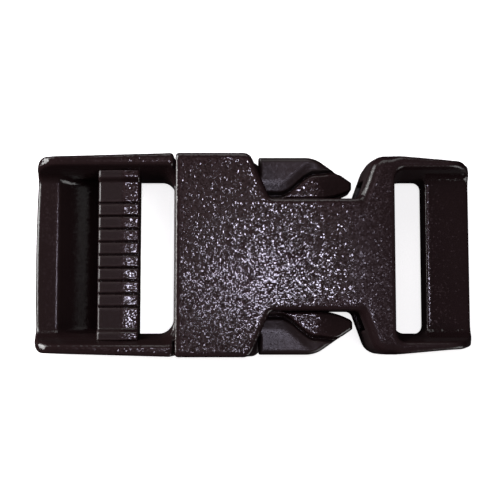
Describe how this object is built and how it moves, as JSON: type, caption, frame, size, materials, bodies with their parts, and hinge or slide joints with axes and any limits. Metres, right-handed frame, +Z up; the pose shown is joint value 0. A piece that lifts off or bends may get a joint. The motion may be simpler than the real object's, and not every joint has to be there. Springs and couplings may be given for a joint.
{
  "type": "side-release buckle",
  "caption": "Contoured side-release buckle for narrow webbing: a socket with a fixed strap bar, and a sprung two-arm insert with a toothed webbing adjuster.",
  "frame": {"origin": "middle of the closed buckle, on the flat underside that it lies on", "axes": "+X from the insert's webbing end to the socket's tail, +Y to the left side, +Z up out of the top plate"},
  "size_m": [0.0576, 0.0268, 0.0086],
  "materials": {
    "socket_plastic": "fine grained moulded acetal",
    "insert_plastic": "fine grained moulded acetal"
  },
  "bodies": {
    "socket": {"socket_top_plate": "socket_plastic", "socket_bottom_plate": "socket_plastic", "socket_side_wall_left": "socket_plastic", "socket_side_wall_right": "socket_plastic", "guide_rib_left": "socket_plastic", "guide_rib_right": "socket_plastic", "tail_block": "socket_plastic", "tail_rail_left": "socket_plastic", "tail_rail_right": "socket_plastic", "strap_bar": "socket_plastic"},
    "insert": {"insert_base": "insert_plastic", "insert_rail_left": "insert_plastic", "insert_rail_right": "insert_plastic", "grip_bar": "insert_plastic", "end_bar": "insert_plastic", "guide_tongue": "insert_plastic"},
    "latch_arm_left": {"latch_beam_left": "insert_plastic", "thumb_fin_left": "insert_plastic"},
    "latch_arm_right": {"latch_beam_right": "insert_plastic", "thumb_fin_right": "insert_plastic"}
  },
  "joints": [
    {"name": "insert_slide", "type": "slide", "parent": "socket", "child": "insert", "axis": [-1, 0, 0], "range_m": [0, 0.03], "deforming": ["latch_beam_left", "latch_beam_right", "thumb_fin_left", "thumb_fin_right"]},
    {"name": "squeeze_left", "type": "hinge", "parent": "insert", "child": "latch_arm_left", "pos_m": [-0.00845, 0.0095, 0.0043], "axis": [0, 0, -1], "range_deg": [0, 10], "stiffness_Nm_per_rad": 0.6},
    {"name": "squeeze_right", "type": "hinge", "parent": "insert", "child": "latch_arm_right", "pos_m": [-0.00845, -0.0095, 0.0043], "axis": [0, 0, 1], "range_deg": [0, 10], "stiffness_Nm_per_rad": 0.6}
  ]
}
